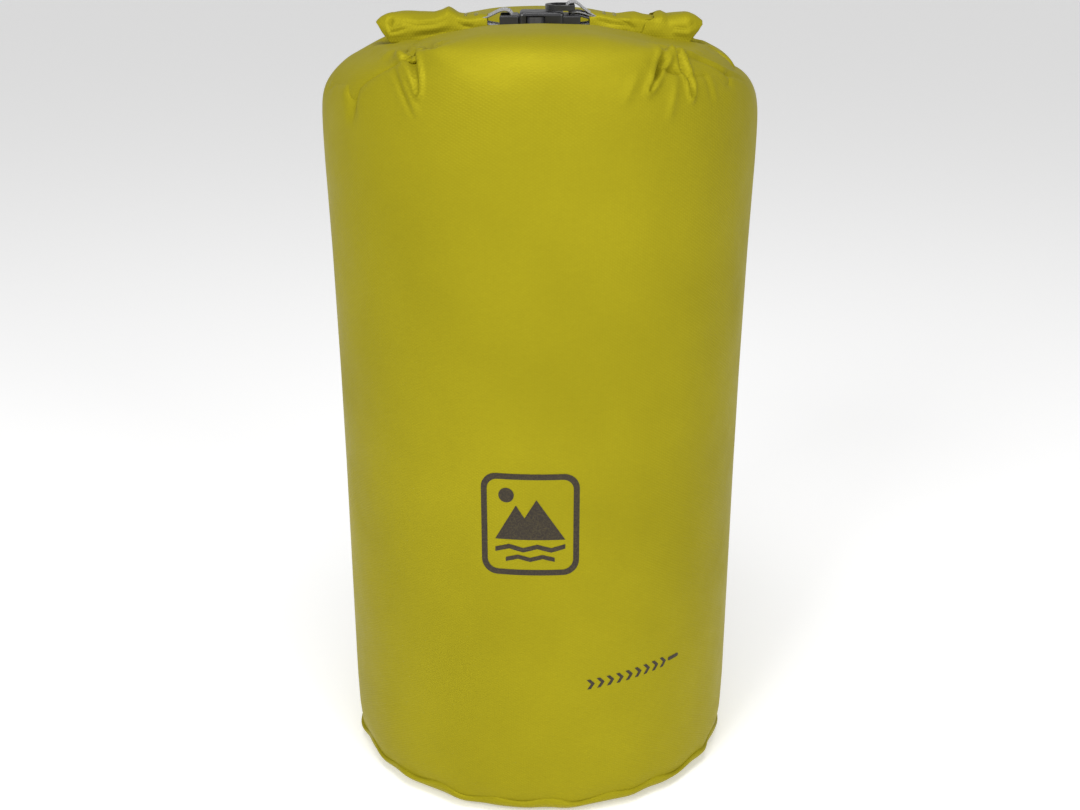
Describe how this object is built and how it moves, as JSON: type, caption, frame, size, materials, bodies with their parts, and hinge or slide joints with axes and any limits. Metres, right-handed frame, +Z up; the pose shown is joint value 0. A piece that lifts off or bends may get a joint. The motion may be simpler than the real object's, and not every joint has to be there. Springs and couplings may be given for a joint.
{
  "type": "stuff sack",
  "caption": "Round-based roll-top stuff sack in coated fabric, rolled shut, its ends folded back and joined by a side-release buckle, with a D-ring to hang it by.",
  "frame": {"origin": "centre of the round base, on the surface that it stands on", "axes": "+Z up, along the sack's length; +X along the rolled mouth, towards the D-ring's side; -Y is the front"},
  "size_m": [0.2556, 0.2526, 0.47],
  "materials": {
    "coated_nylon": "satin",
    "seam_tape": "satin",
    "hem_fabric": "matte",
    "stiffener": "satin",
    "webbing": "matte",
    "thread": "matte",
    "acetal": "satin"
  },
  "bodies": {
    "bag": {"body_panel": "coated_nylon", "base_panel": "coated_nylon", "base_seam_allowance": "coated_nylon", "base_seam_tape": "seam_tape", "side_seam_tape": "seam_tape", "rolled_mouth": "coated_nylon", "mouth_hem": "hem_fabric", "mouth_stiffener": "stiffener"},
    "left_arm": {"roll_bend_left": "coated_nylon", "rolled_arm_left": "coated_nylon", "arm_hem_left": "hem_fabric", "arm_stiffener_left": "stiffener", "webbing_tab_left": "webbing", "bartack_left_inner": "thread", "bartack_left_outer": "thread"},
    "right_arm": {"roll_bend_right": "coated_nylon", "rolled_arm_right": "coated_nylon", "arm_hem_right": "hem_fabric", "arm_stiffener_right": "stiffener", "webbing_tab_right": "webbing", "ring_webbing": "webbing", "bartack_right_inner": "thread", "bartack_right_outer": "thread"},
    "male_half": {"buckle_male": "acetal"},
    "front_prong": {"prong_front": "acetal"},
    "rear_prong": {"prong_rear": "acetal"},
    "female_half": {"buckle_female": "acetal"},
    "ring": {"d_ring": "acetal"}
  },
  "joints": [
    {"name": "left_arm_swing", "type": "hinge", "parent": "bag", "child": "left_arm", "pos_m": [-0.0875, 0, 0.4545], "axis": [0, -1, 0], "range_deg": [0, 70], "deforming": ["prong_front", "prong_rear"]},
    {"name": "right_arm_swing", "type": "hinge", "parent": "bag", "child": "right_arm", "pos_m": [0.0875, 0, 0.4545], "axis": [0, 1, 0], "range_deg": [0, 70]},
    {"name": "male_half_level", "type": "hinge", "parent": "left_arm", "child": "male_half", "pos_m": [-0.0209, 0, 0.4595], "axis": [0, 1, 0], "range_deg": [0, 70]},
    {"name": "female_half_level", "type": "hinge", "parent": "right_arm", "child": "female_half", "pos_m": [0.0209, 0, 0.4595], "axis": [0, -1, 0], "range_deg": [0, 70]},
    {"name": "front_prong_squeeze", "type": "hinge", "parent": "male_half", "child": "front_prong", "pos_m": [-0.0094, -0.007, 0.4595], "axis": [0, 0, 1], "range_deg": [0, 18], "stiffness_Nm_per_rad": 0.05},
    {"name": "rear_prong_squeeze", "type": "hinge", "parent": "male_half", "child": "rear_prong", "pos_m": [-0.0094, 0.007, 0.4595], "axis": [0, 0, -1], "range_deg": [0, 18], "stiffness_Nm_per_rad": 0.05},
    {"name": "d_ring_swing", "type": "hinge", "parent": "right_arm", "child": "ring", "pos_m": [0.0185, 0, 0.4668], "axis": [0, 1, 0], "range_deg": [0, 150]}
  ],
  "couplings": [
    {"joint": "right_arm_swing", "follows": "left_arm_swing", "ratio": 1},
    {"joint": "male_half_level", "follows": "left_arm_swing", "ratio": 1},
    {"joint": "female_half_level", "follows": "left_arm_swing", "ratio": 1},
    {"joint": "rear_prong_squeeze", "follows": "front_prong_squeeze", "ratio": 1}
  ]
}
